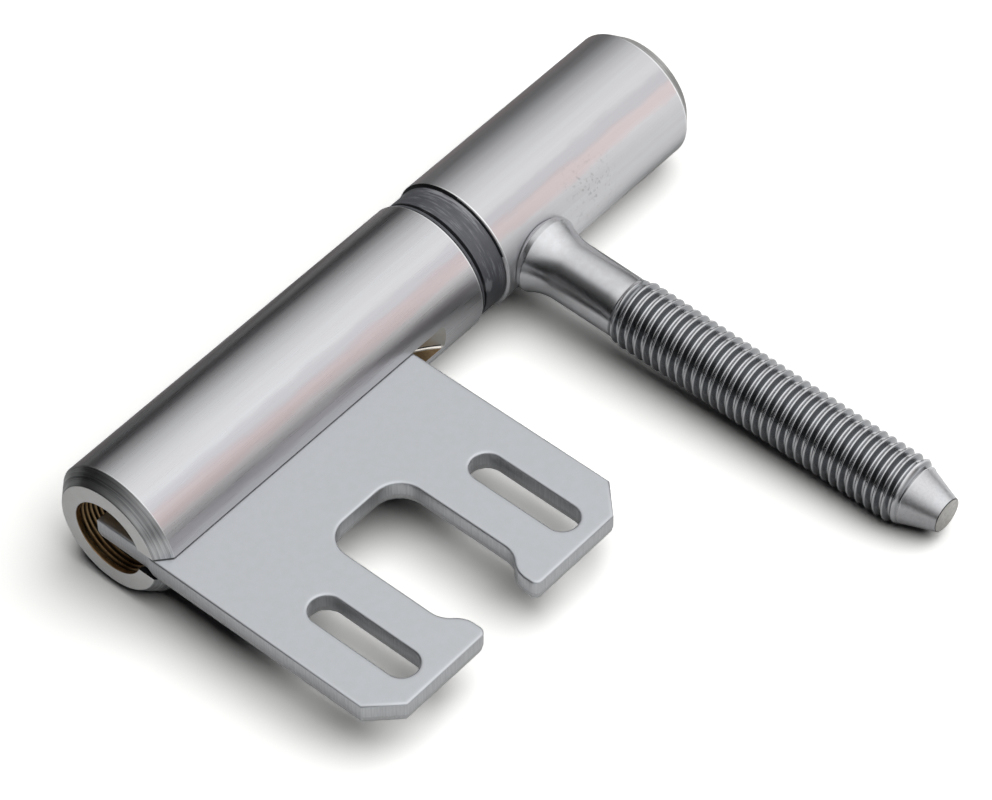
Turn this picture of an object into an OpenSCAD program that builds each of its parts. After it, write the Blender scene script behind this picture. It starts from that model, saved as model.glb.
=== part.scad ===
// Lift-off door hinge: a slit tube with a forked leaf for the frame, and a barrel with a
// screw-in stud for the door, turning on a steel pin in a collared plastic bush.
// The pin lies along X with the frame half towards +X. The leaf lies flat towards +Y.
// The origin is on the pin axis, on the face of the frame knuckle that carries the bush.

/* [Barrel] */
// Outside diameter of both knuckles
barrel_d = 14; // [13:0.5:18]
// Length of the frame knuckle
frame_knuckle_len = 43.5; // [40:0.1:60]
// Length of the door knuckle
door_knuckle_len = 28; // [22:0.5:40]
// Chamfer of the knuckle edges that face the collar
bearing_edge = 0.2; // [0.1:0.05:0.8]
// Length along the pin of the chamfer at the frame knuckle's foot
foot_chamfer_len = 1.5; // [0.5:0.1:3]
// Depth of the same chamfer, across the wall
foot_chamfer_depth = 1.25; // [0.5:0.05:1.6]
// Length along the pin of the chamfer round the closed end of the door knuckle
cap_chamfer_len = 1.5; // [0.5:0.1:3]
// Depth of the same chamfer
cap_chamfer_depth = 1.25; // [0.5:0.05:3]
// Core diameter of the fine thread cut through the frame knuckle
bore_d = 7.9; // [7.2:0.1:9]

/* [Leaf] */
// Thickness of the leaf
leaf_t = 2.5; // [2:0.1:3.5]
// Length of the leaf along the pin
leaf_w = 33.7; // [30:0.1:37]
// Distance from the pin axis to the outer end of the leaf
leaf_reach = 33.3; // [28:0.1:45]
// Size of the cut corners
leaf_corner = 2.9; // [0.5:0.1:4]
// Length along the pin of the tongue that crosses the bore
tongue_w = 7; // [2:0.1:9]
// How far the tongue runs past the pin axis
tongue_past_axis = 1.55; // [0.5:0.05:3]
// How far the tongue stands back from the foot of the knuckle
tongue_setback = 0.3; // [0.1:0.05:1.5]
// Wall left between the root of the leaf and the bore
root_setback = 0.35; // [0.2:0.05:1.2]

/* [Leaf slots] */
// Width of the two screw slots
slot_w = 3.3; // [2.5:0.1:5]
// Length of a slot, end to end
slot_len = 12.2; // [6:0.1:16]
// Width of metal between a slot and the outer end of the leaf
slot_end_bar = 1.8; // [0.8:0.1:4]
// Distance from the edge of the leaf to the middle of its slot
slot_edge = 6; // [4.5:0.1:8]

/* [Fork] */
// Width of the gap between the two tines
fork_w = 9.9; // [6:0.1:12]
// Depth of the gap from the outer end of the leaf
fork_depth = 18; // [11:0.1:20]
// Radius of the inner corners of the gap
fork_r = 2.7; // [0.5:0.1:4.5]
// How far each hook narrows the mouth
hook_depth = 1.6; // [0.4:0.1:2.5]
// Radius of both curves that lead into a hook
hook_r = 2.7; // [1.5:0.1:5]
// Straight length of a hook, up to the outer end
hook_land = 1.4; // [1:0.1:4]
// Rounding of a hook's outer corner
hook_corner_r = 0.8; // [0.1:0.05:0.95]

/* [Slit in the frame knuckle] */
// Radius of the disc cutter that leaves the slit's sloping end
cutter_r = 14; // [7:0.5:30]
// How far the cutter breaks through into the bore
slit_break = 0.9; // [0.3:0.1:2]

/* [Bush] */
// Height of the collar between the knuckles
collar_h = 3.5; // [2:0.1:8]
// How far the collar stands back from the knuckles
collar_inset = 0.3; // [0.1:0.05:1]
// Height of the lip at the frame side of the collar
lip_h = 0.35; // [0.2:0.05:1]
// How far the lip stands back from the knuckles
lip_inset = 0.18; // [0.05:0.01:0.6]
// Height of the groove between the lip and the collar
groove_h = 0.3; // [0.15:0.05:0.6]
// How far the groove's floor stands back from the knuckles
groove_inset = 0.9; // [0.5:0.1:2]
// Edge rounding of the collar at the door side, as a chamfer
collar_edge = 0.3; // [0.05:0.05:0.6]
// Length of the sleeve inside the frame knuckle
sleeve_len = 20; // [8:0.5:24]

/* [Pin] */
// Diameter of the pin
pin_d = 6; // [4:0.1:6.6]
// Length of the pin inside the frame knuckle
pin_in_frame = 22; // [10:0.5:30]
// Length of the pin inside the door knuckle
pin_in_door = 16; // [8:0.5:18]
// Chamfer at both ends of the pin
pin_chamfer = 0.6; // [0.1:0.1:1.5]

/* [Stud] */
// Distance from the door knuckle's bearing edge to the stud's axis
stud_offset = 5; // [4.7:0.1:12]
// Distance from the pin axis to the tip of the stud
stud_reach = 54.9; // [50:0.1:80]
// Diameter of the rim round the foot of the stud
rim_d = 7.9; // [7:0.1:9]
// Height of the rim above the barrel's top line
rim_h = 0.45; // [0.1:0.05:1.5]
// How far the rim keeps its full diameter below that line
rim_drop = 0.15; // [0:0.05:0.6]
// Bevel under the rim, as far along the stud as across it
rim_bevel = 1.2; // [0.3:0.1:1.4]
// Length of the flare from the rim to the shank
flare_len = 3.2; // [2:0.1:6]
// Diameter of the smooth shank
shank_d = 6.2; // [5:0.1:6.6]
// Outside diameter of the stud's thread
thread_d = 6.9; // [6.7:0.1:8]
// Length of the threaded stretch
thread_len = 33.2; // [10:0.1:38]
// Length of the thread's tapered start and end
thread_lead = 0.5; // [0.2:0.1:1.5]
// Length of the cone at the tip
tip_len = 3.5; // [1:0.1:6]
// Diameter of the cone where it leaves the thread
tip_root_d = 5.9; // [5.2:0.1:6.3]
// Diameter of the flat end of the cone
tip_d = 3.5; // [2:0.1:5]
// Diameter of the spigot inside the barrel wall
spigot_d = 5; // [3:0.1:6]
// Depth of the spigot below the barrel's surface
spigot_len = 3; // [1:0.1:3.3]

/* [Fits] */
// Radial room of a piece that turns or slides
run_gap = 0.05; // [0.02:0.01:0.1]
// Radial room of a piece that is pressed in
press_gap = 0.01; // [0.005:0.005:0.02]
// Room above the leaf in its slit
slit_gap_above = 0.03; // [0.02:0.01:0.3]
// Room below the leaf in its slit
slit_gap_below = 0.15; // [0.02:0.01:0.4]
// Room at the inner corner of the leaf, where the cutter passes it
slit_gap_end = 0.12; // [0.05:0.01:0.4]
// How far the stud hangs below the leaf's plane, in degrees
stud_droop = 1.25; // [-10:0.25:10]

/* [Hidden] */
$fn = 96;

steel = "#b4b8bd";
leaf_steel = "#c3c6ca";
pin_steel = "#a58d62";
bush_plastic = "#55565c";

over = 1;
barrel_r = barrel_d / 2;
bore_r = bore_d / 2;
pin_r = pin_d / 2;

// Where the leaf starts along the pin, and where its root ends in the wall
leaf_x = frame_knuckle_len - leaf_w;
leaf_root = bore_r + root_setback;

// The cutter's path: it passes just outside the leaf's inner corner, then runs out
slit_floor = bore_r - slit_break;
cutter_y = slit_floor + cutter_r;
cutter_x = leaf_x - slit_gap_end + sqrt(cutter_r ^ 2 - (cutter_y - leaf_root + slit_gap_end) ^ 2);
slit_low = -leaf_t / 2 - slit_gap_below;
slit_w = leaf_t + slit_gap_above + slit_gap_below;

// A hook's two curves meet where they have turned by this angle
hook_turn = acos(1 - hook_depth / (2 * hook_r));
hook_run = hook_r * sin(hook_turn);
hook_crest_y = leaf_reach - hook_land;

// Places along the leaf, from the pin axis
fork_bottom = leaf_reach - fork_depth;
slot_mid = leaf_reach - slot_end_bar - slot_len / 2;

// Places along the pin on the door side
door_face_x = -collar_h;
stud_x = door_face_x - stud_offset;

// Places along the stud, from the pin axis
rim_low = barrel_r - rim_drop;
rim_top = barrel_r + rim_h;
flare_end = rim_top + flare_len;
tip_start = stud_reach - tip_len;
thread_start = tip_start - thread_len;

// Turns a profile of [radius, distance along the pin] about the pin axis
module turned(profile) {
    rotate([90, 0, 90]) rotate_extrude() polygon(profile);
}

// A rod of the given radius along the pin
module rod(r, from_x, to_x) {
    translate([from_x, 0, 0]) rotate([0, 90, 0]) cylinder(r = r, h = to_x - from_x);
}

// Places a piece that is drawn along Z on the axis of the stud
module on_stud_axis() {
    translate([stud_x, 0, 0]) rotate([-90 - stud_droop, 0, 0]) children();
}

// The slit for the leaf, cut by a disc from the foot upwards
module slit() {
    translate([cutter_x, slit_floor, slit_low])
        cube([frame_knuckle_len - cutter_x + over, barrel_r, slit_w]);
    translate([cutter_x, cutter_y, slit_low]) cylinder(r = cutter_r, h = slit_w);
}

// Half of the fork's gap from its middle line, without its hook
module fork_half() {
    half_w = fork_w / 2;
    translate([-over, fork_bottom]) square([half_w - fork_r + over, leaf_reach - fork_bottom + over]);
    translate([-over, fork_bottom + fork_r])
        square([half_w + over, leaf_reach - fork_bottom - fork_r + over]);
    translate([half_w - fork_r, fork_bottom + fork_r]) circle(r = fork_r);
}

// One hook: an S curve out of the tine's side, then a land with a rounded corner
module hook() {
    wall_x = fork_w / 2;
    mid_y = hook_crest_y - hook_run;
    start_y = mid_y - hook_run;
    crest_x = wall_x - hook_depth;
    difference() {
        polygon([
            [wall_x, start_y],
            [wall_x - hook_depth / 2, mid_y],
            [crest_x, hook_crest_y],
            [wall_x, hook_crest_y]
        ]);
        translate([wall_x - hook_r, start_y]) circle(r = hook_r);
    }
    intersection() {
        translate([crest_x + hook_r, hook_crest_y]) circle(r = hook_r);
        translate([crest_x, mid_y]) square([hook_depth, hook_run]);
    }
    difference() {
        translate([crest_x, hook_crest_y]) square([hook_depth, hook_land]);
        translate([crest_x, leaf_reach]) difference() {
            translate([-over, -hook_corner_r]) square([hook_corner_r + over, hook_corner_r + over]);
            translate([hook_corner_r, -hook_corner_r]) circle(r = hook_corner_r);
        }
    }
}

// One screw slot, running away from the pin
module screw_slot() {
    straight = slot_len - slot_w;
    translate([-slot_w / 2, -straight / 2]) square([slot_w, straight]);
    for (end = [-1, 1]) translate([0, end * straight / 2]) circle(d = slot_w);
}

// One cut corner of the leaf, drawn about that corner
module cut_corner() {
    polygon([[-leaf_corner, 0], [over, leaf_corner + over], [over, -leaf_corner - over],
        [0, -leaf_corner]]);
}

// Outline of the leaf, seen from above
module leaf_outline() {
    difference() {
        union() {
            translate([leaf_x, leaf_root]) square([leaf_w, leaf_reach - leaf_root]);
            translate([frame_knuckle_len - tongue_w, -tongue_past_axis])
                square([tongue_w - tongue_setback, leaf_root + tongue_past_axis + over]);
        }
        translate([frame_knuckle_len, leaf_reach]) cut_corner();
        translate([leaf_x, leaf_reach]) mirror([1, 0]) cut_corner();
        for (x = [leaf_x + slot_edge, frame_knuckle_len - slot_edge])
            translate([x, slot_mid]) screw_slot();
        translate([leaf_x + leaf_w / 2, 0]) for (side = [0, 1]) mirror([side, 0]) difference() {
            fork_half();
            hook();
        }
    }
}

// Tube of the frame half: threaded bore, slit for the leaf, wide chamfer at the foot
module frame_knuckle() {
    color(steel) difference() {
        turned([
            [bore_r, 0],
            [barrel_r - bearing_edge, 0],
            [barrel_r, bearing_edge],
            [barrel_r, frame_knuckle_len - foot_chamfer_len],
            [barrel_r - foot_chamfer_depth, frame_knuckle_len],
            [bore_r, frame_knuckle_len]
        ]);
        slit();
    }
}

// Blanked plate, held in the slit by a tongue that crosses the bore at the foot
module frame_leaf() {
    color(leaf_steel) translate([0, 0, -leaf_t / 2])
        linear_extrude(height = leaf_t) leaf_outline();
}

// Moulded bush: a sleeve in the frame knuckle under a collar that carries the door
module bearing_bush() {
    inner_r = pin_r + run_gap;
    sleeve_r = bore_r - run_gap;
    collar_r = barrel_r - collar_inset;
    lip_r = barrel_r - lip_inset;
    groove_r = barrel_r - groove_inset;
    color(bush_plastic) turned([
        [inner_r, -collar_h],
        [collar_r - collar_edge, -collar_h],
        [collar_r, -collar_h + collar_edge],
        [collar_r, -lip_h - groove_h],
        [groove_r, -lip_h - groove_h],
        [groove_r, -lip_h],
        [lip_r, -lip_h],
        [lip_r, 0],
        [sleeve_r, 0],
        [sleeve_r, sleeve_len],
        [inner_r, sleeve_len]
    ]);
}

// Turned pin, pressed into the door knuckle and free in the bush
module hinge_pin() {
    top = door_face_x - pin_in_door;
    color(pin_steel) turned([
        [0, top],
        [pin_r - pin_chamfer, top],
        [pin_r, top + pin_chamfer],
        [pin_r, pin_in_frame - pin_chamfer],
        [pin_r - pin_chamfer, pin_in_frame],
        [0, pin_in_frame]
    ]);
}

// Barrel of the door half, closed at the far end, with a cross hole for the stud
module door_knuckle() {
    top = door_face_x - door_knuckle_len;
    color(steel) difference() {
        turned([
            [0, top],
            [barrel_r - cap_chamfer_depth, top],
            [barrel_r, top + cap_chamfer_len],
            [barrel_r, door_face_x - bearing_edge],
            [barrel_r - bearing_edge, door_face_x],
            [0, door_face_x]
        ]);
        rod(pin_r + press_gap, door_face_x - pin_in_door, door_face_x + over);
        on_stud_axis() translate([0, 0, barrel_r - spigot_len])
            cylinder(d = spigot_d, h = spigot_len + over);
    }
}

// Flared neck, shank, threaded stretch and cone, as [radius, distance from the pin axis]
module stud_outline() {
    shank_r = shank_d / 2;
    rim_r = rim_d / 2;
    thread_r = thread_d / 2;
    flare = rim_r - shank_r;
    flare_r = (flare_len ^ 2 + flare ^ 2) / (2 * flare);
    difference() {
        translate([0, rim_top]) square([rim_r, flare_len]);
        translate([shank_r + flare_r, flare_end]) circle(r = flare_r);
    }
    polygon([
        [0, rim_low - rim_bevel],
        [rim_r - rim_bevel, rim_low - rim_bevel],
        [rim_r, rim_low],
        [rim_r, rim_top],
        [0, rim_top]
    ]);
    polygon([
        [0, flare_end],
        [shank_r, flare_end],
        [shank_r, thread_start - thread_lead],
        [thread_r, thread_start],
        [thread_r, tip_start - thread_lead],
        [tip_root_d / 2, tip_start],
        [tip_d / 2, stud_reach],
        [0, stud_reach]
    ]);
}

// Turned stud, saddled on the barrel and held by a spigot in its wall
module door_stud() {
    color(steel) on_stud_axis() {
        difference() {
            rotate_extrude() stud_outline();
            rotate([0, 90, 0]) cylinder(r = barrel_r + press_gap, h = 2 * rim_d, center = true);
        }
        translate([0, 0, barrel_r - spigot_len])
            cylinder(r = spigot_d / 2 - press_gap, h = spigot_len + rim_h);
    }
}

frame_knuckle();
frame_leaf();
bearing_bush();
hinge_pin();
door_knuckle();
door_stud();
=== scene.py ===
# A lift-off door hinge on a white table: a slit tube with a forked leaf for the frame, a barrel
# with a screw-in stud for the door, and a plastic bush and a steel pin between the two.
import math

import bmesh
import bpy
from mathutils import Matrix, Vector


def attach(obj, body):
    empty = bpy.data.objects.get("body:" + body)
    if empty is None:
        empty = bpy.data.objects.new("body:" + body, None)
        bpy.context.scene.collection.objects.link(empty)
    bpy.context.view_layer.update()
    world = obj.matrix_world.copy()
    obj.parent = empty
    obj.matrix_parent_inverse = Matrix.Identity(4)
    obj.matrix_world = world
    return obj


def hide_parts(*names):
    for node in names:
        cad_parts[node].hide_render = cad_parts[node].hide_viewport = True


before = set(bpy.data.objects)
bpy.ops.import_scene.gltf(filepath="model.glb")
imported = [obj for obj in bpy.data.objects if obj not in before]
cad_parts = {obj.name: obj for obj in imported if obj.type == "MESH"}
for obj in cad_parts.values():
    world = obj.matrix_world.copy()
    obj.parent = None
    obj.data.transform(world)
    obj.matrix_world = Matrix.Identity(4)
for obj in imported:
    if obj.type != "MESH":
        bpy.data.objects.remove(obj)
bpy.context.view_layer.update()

# Frame knuckle: a length of thick steel tube, turned at both ends, tapped below the bush and slit
# along one side by a disc cutter that takes the leaf. The whole is zinc plated and clear passivated,
# so its drawn skin is a soft grey mirror while the turned foot stays darker and painted shade darkens
# the thread.
MM = 0.001
barrel_r = 7 * MM
bore_r = 3.95 * MM
knuckle_len = 43.5 * MM
round_steps = 160


def eased(corners, support=0.05 * MM):
    """Rounds a turned profile. A corner is (x, radius), or (x, radius, size of its rounding)."""
    line = []
    for i, (x, r, *size) in enumerate(corners):
        here = Vector((x, r))
        if not size:
            line.append(here)
            continue
        back = (Vector(corners[i - 1][:2]) - here).normalized()
        on = (Vector(corners[i + 1][:2]) - here).normalized()
        line.append(here + back * (size[0] + support))
        for t in (0, 0.25, 0.5, 0.75, 1):
            line.append(here + back * size[0] * (1 - t) ** 2 + on * size[0] * t ** 2)
        line.append(here + on * (size[0] + support))
    return line


def turned(name, line, longest=1 * MM, steps=round_steps):
    """Turns a profile of (x, radius) about the pin: a circle, extruded and resized place by place."""
    bpy.ops.object.select_all(action="DESELECT")
    here = Vector(line[0])
    bpy.ops.mesh.primitive_circle_add(vertices=steps, radius=here.y, location=(here.x, 0, 0),
                                      rotation=(0, math.pi / 2, 0))
    piece = bpy.context.object
    piece.name = name
    bpy.ops.object.transform_apply()
    bpy.ops.object.mode_set(mode="EDIT")
    bpy.ops.mesh.select_all(action="SELECT")
    for corner in line[1:]:
        corner = Vector(corner)
        start = here.copy()
        parts = max(1, math.ceil((corner - start).length / longest - 1e-6))
        for part in range(1, parts + 1):
            place = start.lerp(corner, part / parts)
            bpy.ops.mesh.extrude_edges_move(
                TRANSFORM_OT_translate={"value": (place.x - here.x, 0, 0)})
            bpy.ops.transform.resize(value=(1, place.y / here.y, place.y / here.y),
                                     center_override=(place.x, 0, 0))
            here = place
    bpy.ops.mesh.select_all(action="SELECT")
    bpy.ops.mesh.remove_doubles(threshold=0.001 * MM)
    bpy.ops.mesh.fill_holes(sides=0)
    bpy.ops.mesh.select_all(action="SELECT")
    bpy.ops.mesh.normals_make_consistent(inside=False)
    bpy.ops.object.mode_set(mode="OBJECT")
    return piece


def subdivide_along(piece, cuts, low, high, inner, outer):
    """Cuts the edges that run along the pin between two places and two radii."""
    bpy.ops.object.mode_set(mode="EDIT")
    bpy.ops.mesh.select_mode(type="EDGE")
    bpy.ops.mesh.select_all(action="DESELECT")
    mesh = bmesh.from_edit_mesh(piece.data)
    for edge in mesh.edges:
        a, b = (v.co for v in edge.verts)
        radii = [math.hypot(p.y, p.z) for p in (a, b)]
        along = abs(a.x - b.x) > 0.3 * MM
        edge.select = (along and min(a.x, b.x) > low and max(a.x, b.x) < high
                       and min(radii) > inner and max(radii) < outer)
    bmesh.update_edit_mesh(piece.data)
    bpy.ops.mesh.subdivide(number_cuts=cuts)
    bpy.ops.object.mode_set(mode="OBJECT")


def cut_thread(piece, low, high, inner, outer, pitch, half_form, place_on):
    """Moves a turned surface to a right-hand thread. half_form lists (place in the turn, level) from
    root to crest. place_on gives the radius for a level and a place along the pin, and how far the
    thread has run in there. The depth is kept as an attribute for the finish."""
    other_half = [(1 - turn, level) for turn, level in half_form[-2::-1]]
    form = half_form + other_half
    groove = piece.data.attributes.new("groove", "FLOAT", "POINT")
    for v in piece.data.vertices:
        x, y, z = v.co
        r = math.hypot(y, z)
        if not (low < x < high and inner < r < outer):
            continue
        even = (x / pitch - math.atan2(z, y) / math.tau) % 1
        step, part = divmod(even * (len(form) - 1), 1)
        (turn_a, level_a), (turn_b, level_b) = form[int(step)], form[int(step) + 1]
        turn = turn_a + (turn_b - turn_a) * part
        level = level_a + (level_b - level_a) * part
        new_r, run_in = place_on(level, x)
        v.co = (x + (turn - even) * pitch * run_in, y * new_r / r, z * new_r / r)
        groove.data[v.index].value = (1 - level) * run_in


def carve(piece, cutter):
    """Takes the cutter's volume out of a piece and throws the cutter away."""
    bpy.ops.object.select_all(action="DESELECT")
    bpy.context.view_layer.objects.active = piece
    piece.select_set(True)
    cut = piece.modifiers.new("cut", "BOOLEAN")
    cut.operation = "DIFFERENCE"
    cut.solver = "EXACT"
    cut.object = cutter
    bpy.ops.object.modifier_apply(modifier=cut.name)
    bpy.data.objects.remove(cutter)


def smooth(piece, degrees=30):
    """Smooth shading up to a given angle between faces."""
    bpy.ops.object.select_all(action="DESELECT")
    bpy.context.view_layer.objects.active = piece
    piece.select_set(True)
    bpy.ops.object.shade_smooth_by_angle(angle=math.radians(degrees))


def paint(piece, material, test=None):
    """Gives a material to the whole piece, or to the faces whose middle and normal pass the test."""
    piece.data.materials.append(material)
    place = len(piece.data.materials) - 1
    for face in piece.data.polygons:
        if test is None or test(face.center, face.normal):
            face.material_index = place


def linear(text):
    """An sRGB hex colour as linear red, green, blue and alpha."""
    parts = [int(text[i:i + 2], 16) / 255 for i in (1, 3, 5)]
    return [c / 12.92 if c <= 0.04045 else ((c + 0.055) / 1.055) ** 2.4 for c in parts] + [1]


def node(tree, kind, inputs=None, **settings):
    """Adds a node with its settings. An input is a value, or a socket that is linked to it."""
    made = tree.nodes.new("ShaderNode" + kind)
    for name, value in settings.items():
        setattr(made, name, value)
    for name, value in (inputs or {}).items():
        if isinstance(value, bpy.types.NodeSocket):
            tree.links.new(value, made.inputs[name])
        else:
            made.inputs[name].default_value = value
    return made.outputs[0]


def finish(name, values):
    """A new material with the values that are the same all over it. Gives it, its tree and shader."""
    material = bpy.data.materials.new(name)
    material.use_nodes = True
    shader = material.node_tree.nodes["Principled BSDF"]
    for socket, value in values.items():
        shader.inputs[socket].default_value = value
    return material, material.node_tree, shader


def plated(name, light, dark, tint, rough, grain, grain_depth, streak=(1, 1, 1)):
    """Zinc plate: two greys and a faint passivation tint in patches, a fine grain along streak,
    and a gloss that varies with the grain. grain is the size of one mark in metres."""
    material, tree, shader = finish(name, {"Metallic": 1})
    place = tree.nodes.new("ShaderNodeTexCoord").outputs["Object"]
    drawn = node(tree, "Mapping", {"Vector": place, "Scale": streak})
    fine = node(tree, "TexNoise", {"Vector": drawn, "Scale": 1 / grain, "Detail": 3,
                                   "Roughness": 0.6})
    patch = node(tree, "TexNoise", {"Vector": drawn, "Scale": 0.12 / grain, "Detail": 2})
    cloud = node(tree, "MapRange", {0: patch, 1: 0.35, 2: 0.65})
    grey = node(tree, "Mix", {0: fine, 6: linear(dark), 7: linear(light)}, data_type="RGBA").node
    hue = node(tree, "Mix", {0: cloud, 6: grey.outputs[2], 7: linear(tint)}, data_type="RGBA",
               blend_type="MULTIPLY").node
    tree.links.new(hue.outputs[2], shader.inputs["Base Color"])
    gloss = node(tree, "MapRange", {0: fine, 1: 0.25, 2: 0.75, 3: rough[0], 4: rough[1]})
    tree.links.new(gloss, shader.inputs["Roughness"])
    bump = node(tree, "Bump", {"Height": fine, "Strength": 1, "Distance": grain_depth})
    tree.links.new(bump, shader.inputs["Normal"])
    return material


def zinc_turned(name, light, dark, spacing, depth, rough):
    """Plated zinc over tool marks: fine rings about the pin, unevenly spaced."""
    material, tree, shader = finish(name, {"Metallic": 1, "Roughness": rough})
    place = tree.nodes.new("ShaderNodeTexCoord").outputs["Object"]
    along = node(tree, "Mapping", {"Vector": place, "Scale": (1, 0.015, 0.015)})
    rings = node(tree, "TexNoise", {"Vector": along, "Scale": 1 / spacing, "Detail": 4,
                                    "Roughness": 0.7})
    depths = node(tree, "MapRange", {0: rings, 1: 0.38, 2: 0.58})
    grey = node(tree, "Mix", {0: depths, 6: linear(dark), 7: linear(light)}, data_type="RGBA").node
    tree.links.new(grey.outputs[2], shader.inputs["Base Color"])
    bump = node(tree, "Bump", {"Height": rings, "Strength": 1, "Distance": depth})
    tree.links.new(bump, shader.inputs["Normal"])
    return material


def mixed_in(material, amount, colour, blend="MIX"):
    """Mixes a colour into the base colour that a material already has."""
    tree = material.node_tree
    base = tree.nodes["Principled BSDF"].inputs["Base Color"]
    mixed = node(tree, "Mix", {0: amount, 6: base.links[0].from_socket, 7: linear(colour)},
                 data_type="RGBA", blend_type=blend).node.outputs[2]
    tree.links.new(mixed, base)


def passivation_and_painted_reflection(material, bands):
    """Bands of passivation tint that run along the pin, four times round it, laid at the fixed angles
    where the barrel shows pink and grey reflections, so they are partly painted reflection. A band is
    its angle from the top, half its width in degrees, its colour and how far it wanders."""
    tree = material.node_tree
    place = tree.nodes.new("ShaderNodeTexCoord").outputs["Object"]
    axes = node(tree, "SeparateXYZ", {"Vector": place}).node.outputs
    around = node(tree, "Math", {0: axes["Y"], 1: axes["Z"]}, operation="ARCTAN2")
    drawn = node(tree, "Mapping", {"Vector": place, "Scale": (0.25, 1, 1)})
    for angle, half_width, colour, wander in bands:
        wave = node(tree, "TexNoise", {"Vector": drawn, "Scale": 1 / (1.2 * MM), "Detail": 3})
        shift = node(tree, "MapRange", {0: wave, 3: -wander * 2, 4: wander * 2})
        off = node(tree, "Math", {0: around, 1: shift}, operation="ADD")
        turn = node(tree, "Math", {0: off, 1: 4.0, 2: -4 * math.radians(angle)},
                    operation="MULTIPLY_ADD")
        near = node(tree, "Math", {0: turn}, operation="COSINE")
        mask = node(tree, "MapRange", {0: near, 1: math.cos(4 * math.radians(half_width)), 2: 1},
                    interpolation_type="SMOOTHSTEP")
        mixed_in(material, mask, colour, "MULTIPLY")
    return material


# Drawn tube under clear passivated zinc: a satin mirror with hair-fine lines along the pin
zinc_tube = plated("zinc_tube", "#d5d6d8", "#c8c9cc", "#faf8f8", (0.26, 0.32), 0.12 * MM,
                   0.0004 * MM, (0.02, 1, 1))
# Painted reflection with a passivation tint: bands at 35, 45 and 66 degrees from the top
passivation_and_painted_reflection(zinc_tube, ((35, 8, "#f4f3f5", 0.04), (45, 9, "#fff3f3", 0.05),
                       (66, 7, "#efecee", 0.04)))
# Painted highlight: near-white rings on the edges of the tube and the bar
zinc_painted_highlight = plated("zinc_painted_highlight", "#f6f7f8", "#ecedee", "#ffffff", (0.3, 0.36), 0.12 * MM,
                   0.0002 * MM)
# Painted shade: dark zinc where gaps and edges fall into shade, at the bearing faces, the slit's
# run-out, the door knuckle's chamfer and the stud's foot and tip
zinc_painted_shade = plated("zinc_painted_shade", "#55565a", "#3c3d40", "#f4f0ec", (0.4, 0.5), 0.2 * MM,
                      0.0006 * MM)
# Turned foot: a few fine rings from the tool on its chamfer, and a satin end
zinc_foot = zinc_turned("zinc_foot", "#e2e3e4", "#a2a3a6", 0.17 * MM, 0.004 * MM, 0.3)
zinc_end = plated("zinc_end", "#f6f6f5", "#eeeeed", "#fcfbfa", (0.38, 0.46), 0.15 * MM,
                  0.0006 * MM)
# Tapped bore: the passivate pools in the thread and goes golden brown; painted shade darkens the roots
# nearly to black
zinc_bore = plated("zinc_bore", "#d2b78c", "#94795a", "#efe6da", (0.28, 0.38), 0.3 * MM, 0.001 * MM)
bore_tree = zinc_bore.node_tree
bore_groove = node(bore_tree, "Attribute", attribute_name="groove").node.outputs["Fac"]
# Painted shade in the thread's roots, by the depth of the groove
bore_root_painted_shade = node(bore_tree, "MapRange", {0: bore_groove, 1: 0.1, 2: 0.7, 3: 0, 4: 0.9})
mixed_in(zinc_bore, bore_root_painted_shade, "#201a14")
# Slit: a milled grey, with a painted highlight on the fillet at the run-out and a lower wall where the
# passivate has pooled. That wall is brown at the run-out and darkened by painted shade under the leaf.
zinc_slit = plated("zinc_slit", "#d4d3cf", "#c0beb8", "#f7f3ee", (0.38, 0.5), 0.15 * MM, 0.001 * MM)
zinc_fillet_painted_highlight = plated("zinc_fillet_painted_highlight", "#fbf8f2", "#f0eadf", "#ffffff", (0.2, 0.26), 0.15 * MM,
                     0.0004 * MM)
zinc_pooled = plated("zinc_pooled", "#c2ac8a", "#7e6a52", "#e8dccc", (0.35, 0.5), 0.25 * MM,
                     0.004 * MM)
# Painted shade: the pooled wall goes nearly black from 12 to 16 mm along the pin, under the leaf
pooled_tree = zinc_pooled.node_tree
pooled_place = pooled_tree.nodes.new("ShaderNodeTexCoord").outputs["Object"]
pooled_x = node(pooled_tree, "SeparateXYZ", {"Vector": pooled_place}).node.outputs["X"]
painted_shade_under_leaf = node(pooled_tree, "MapRange", {0: pooled_x, 1: 12 * MM, 2: 16 * MM})
mixed_in(zinc_pooled, painted_shade_under_leaf, "#2c2c2e")

tap_from = 31 * MM
tap_to = 43.1 * MM
tap_pitch = 0.5 * MM
tap_depth = 0.25 * MM
foot_len = 1.5 * MM
foot_depth = 1.25 * MM
bearing_edge = 0.2 * MM

frame_knuckle = turned("frame_tube", eased([
    (tap_from, bore_r),
    (0, bore_r, 0.15 * MM),
    (0, barrel_r - bearing_edge, 0.06 * MM),
    (bearing_edge, barrel_r, 0.06 * MM),
    (knuckle_len - foot_len, barrel_r, 0.06 * MM),
    (knuckle_len, barrel_r - foot_depth, 0.08 * MM),
    (knuckle_len, bore_r, 0.1 * MM),
    (tap_to, bore_r),
    (tap_from, bore_r),
]))
bore_zone = (bore_r - 0.05 * MM, bore_r + 0.05 * MM)
subdivide_along(frame_knuckle, 23, tap_from - 0.01 * MM, tap_to + 0.01 * MM, *bore_zone)

# Sharp root, straight flank and sharp crest
tap_form = [(0, 0), (0.06, 0.02), (0.1, 0.12), (0.25, 0.5), (0.42, 0.92), (0.46, 0.98), (0.5, 1)]


def tapped(level, x):
    """Sharp grooves cut outwards from the bore, running out at both ends of the thread."""
    run_in = max(0, min(1, (x - tap_from) / tap_pitch, (tap_to - x) / (0.4 * tap_pitch)))
    return bore_r + tap_depth * (1 - level) * run_in, run_in


cut_thread(frame_knuckle, tap_from, tap_to, *bore_zone, tap_pitch, tap_form, tapped)

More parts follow.
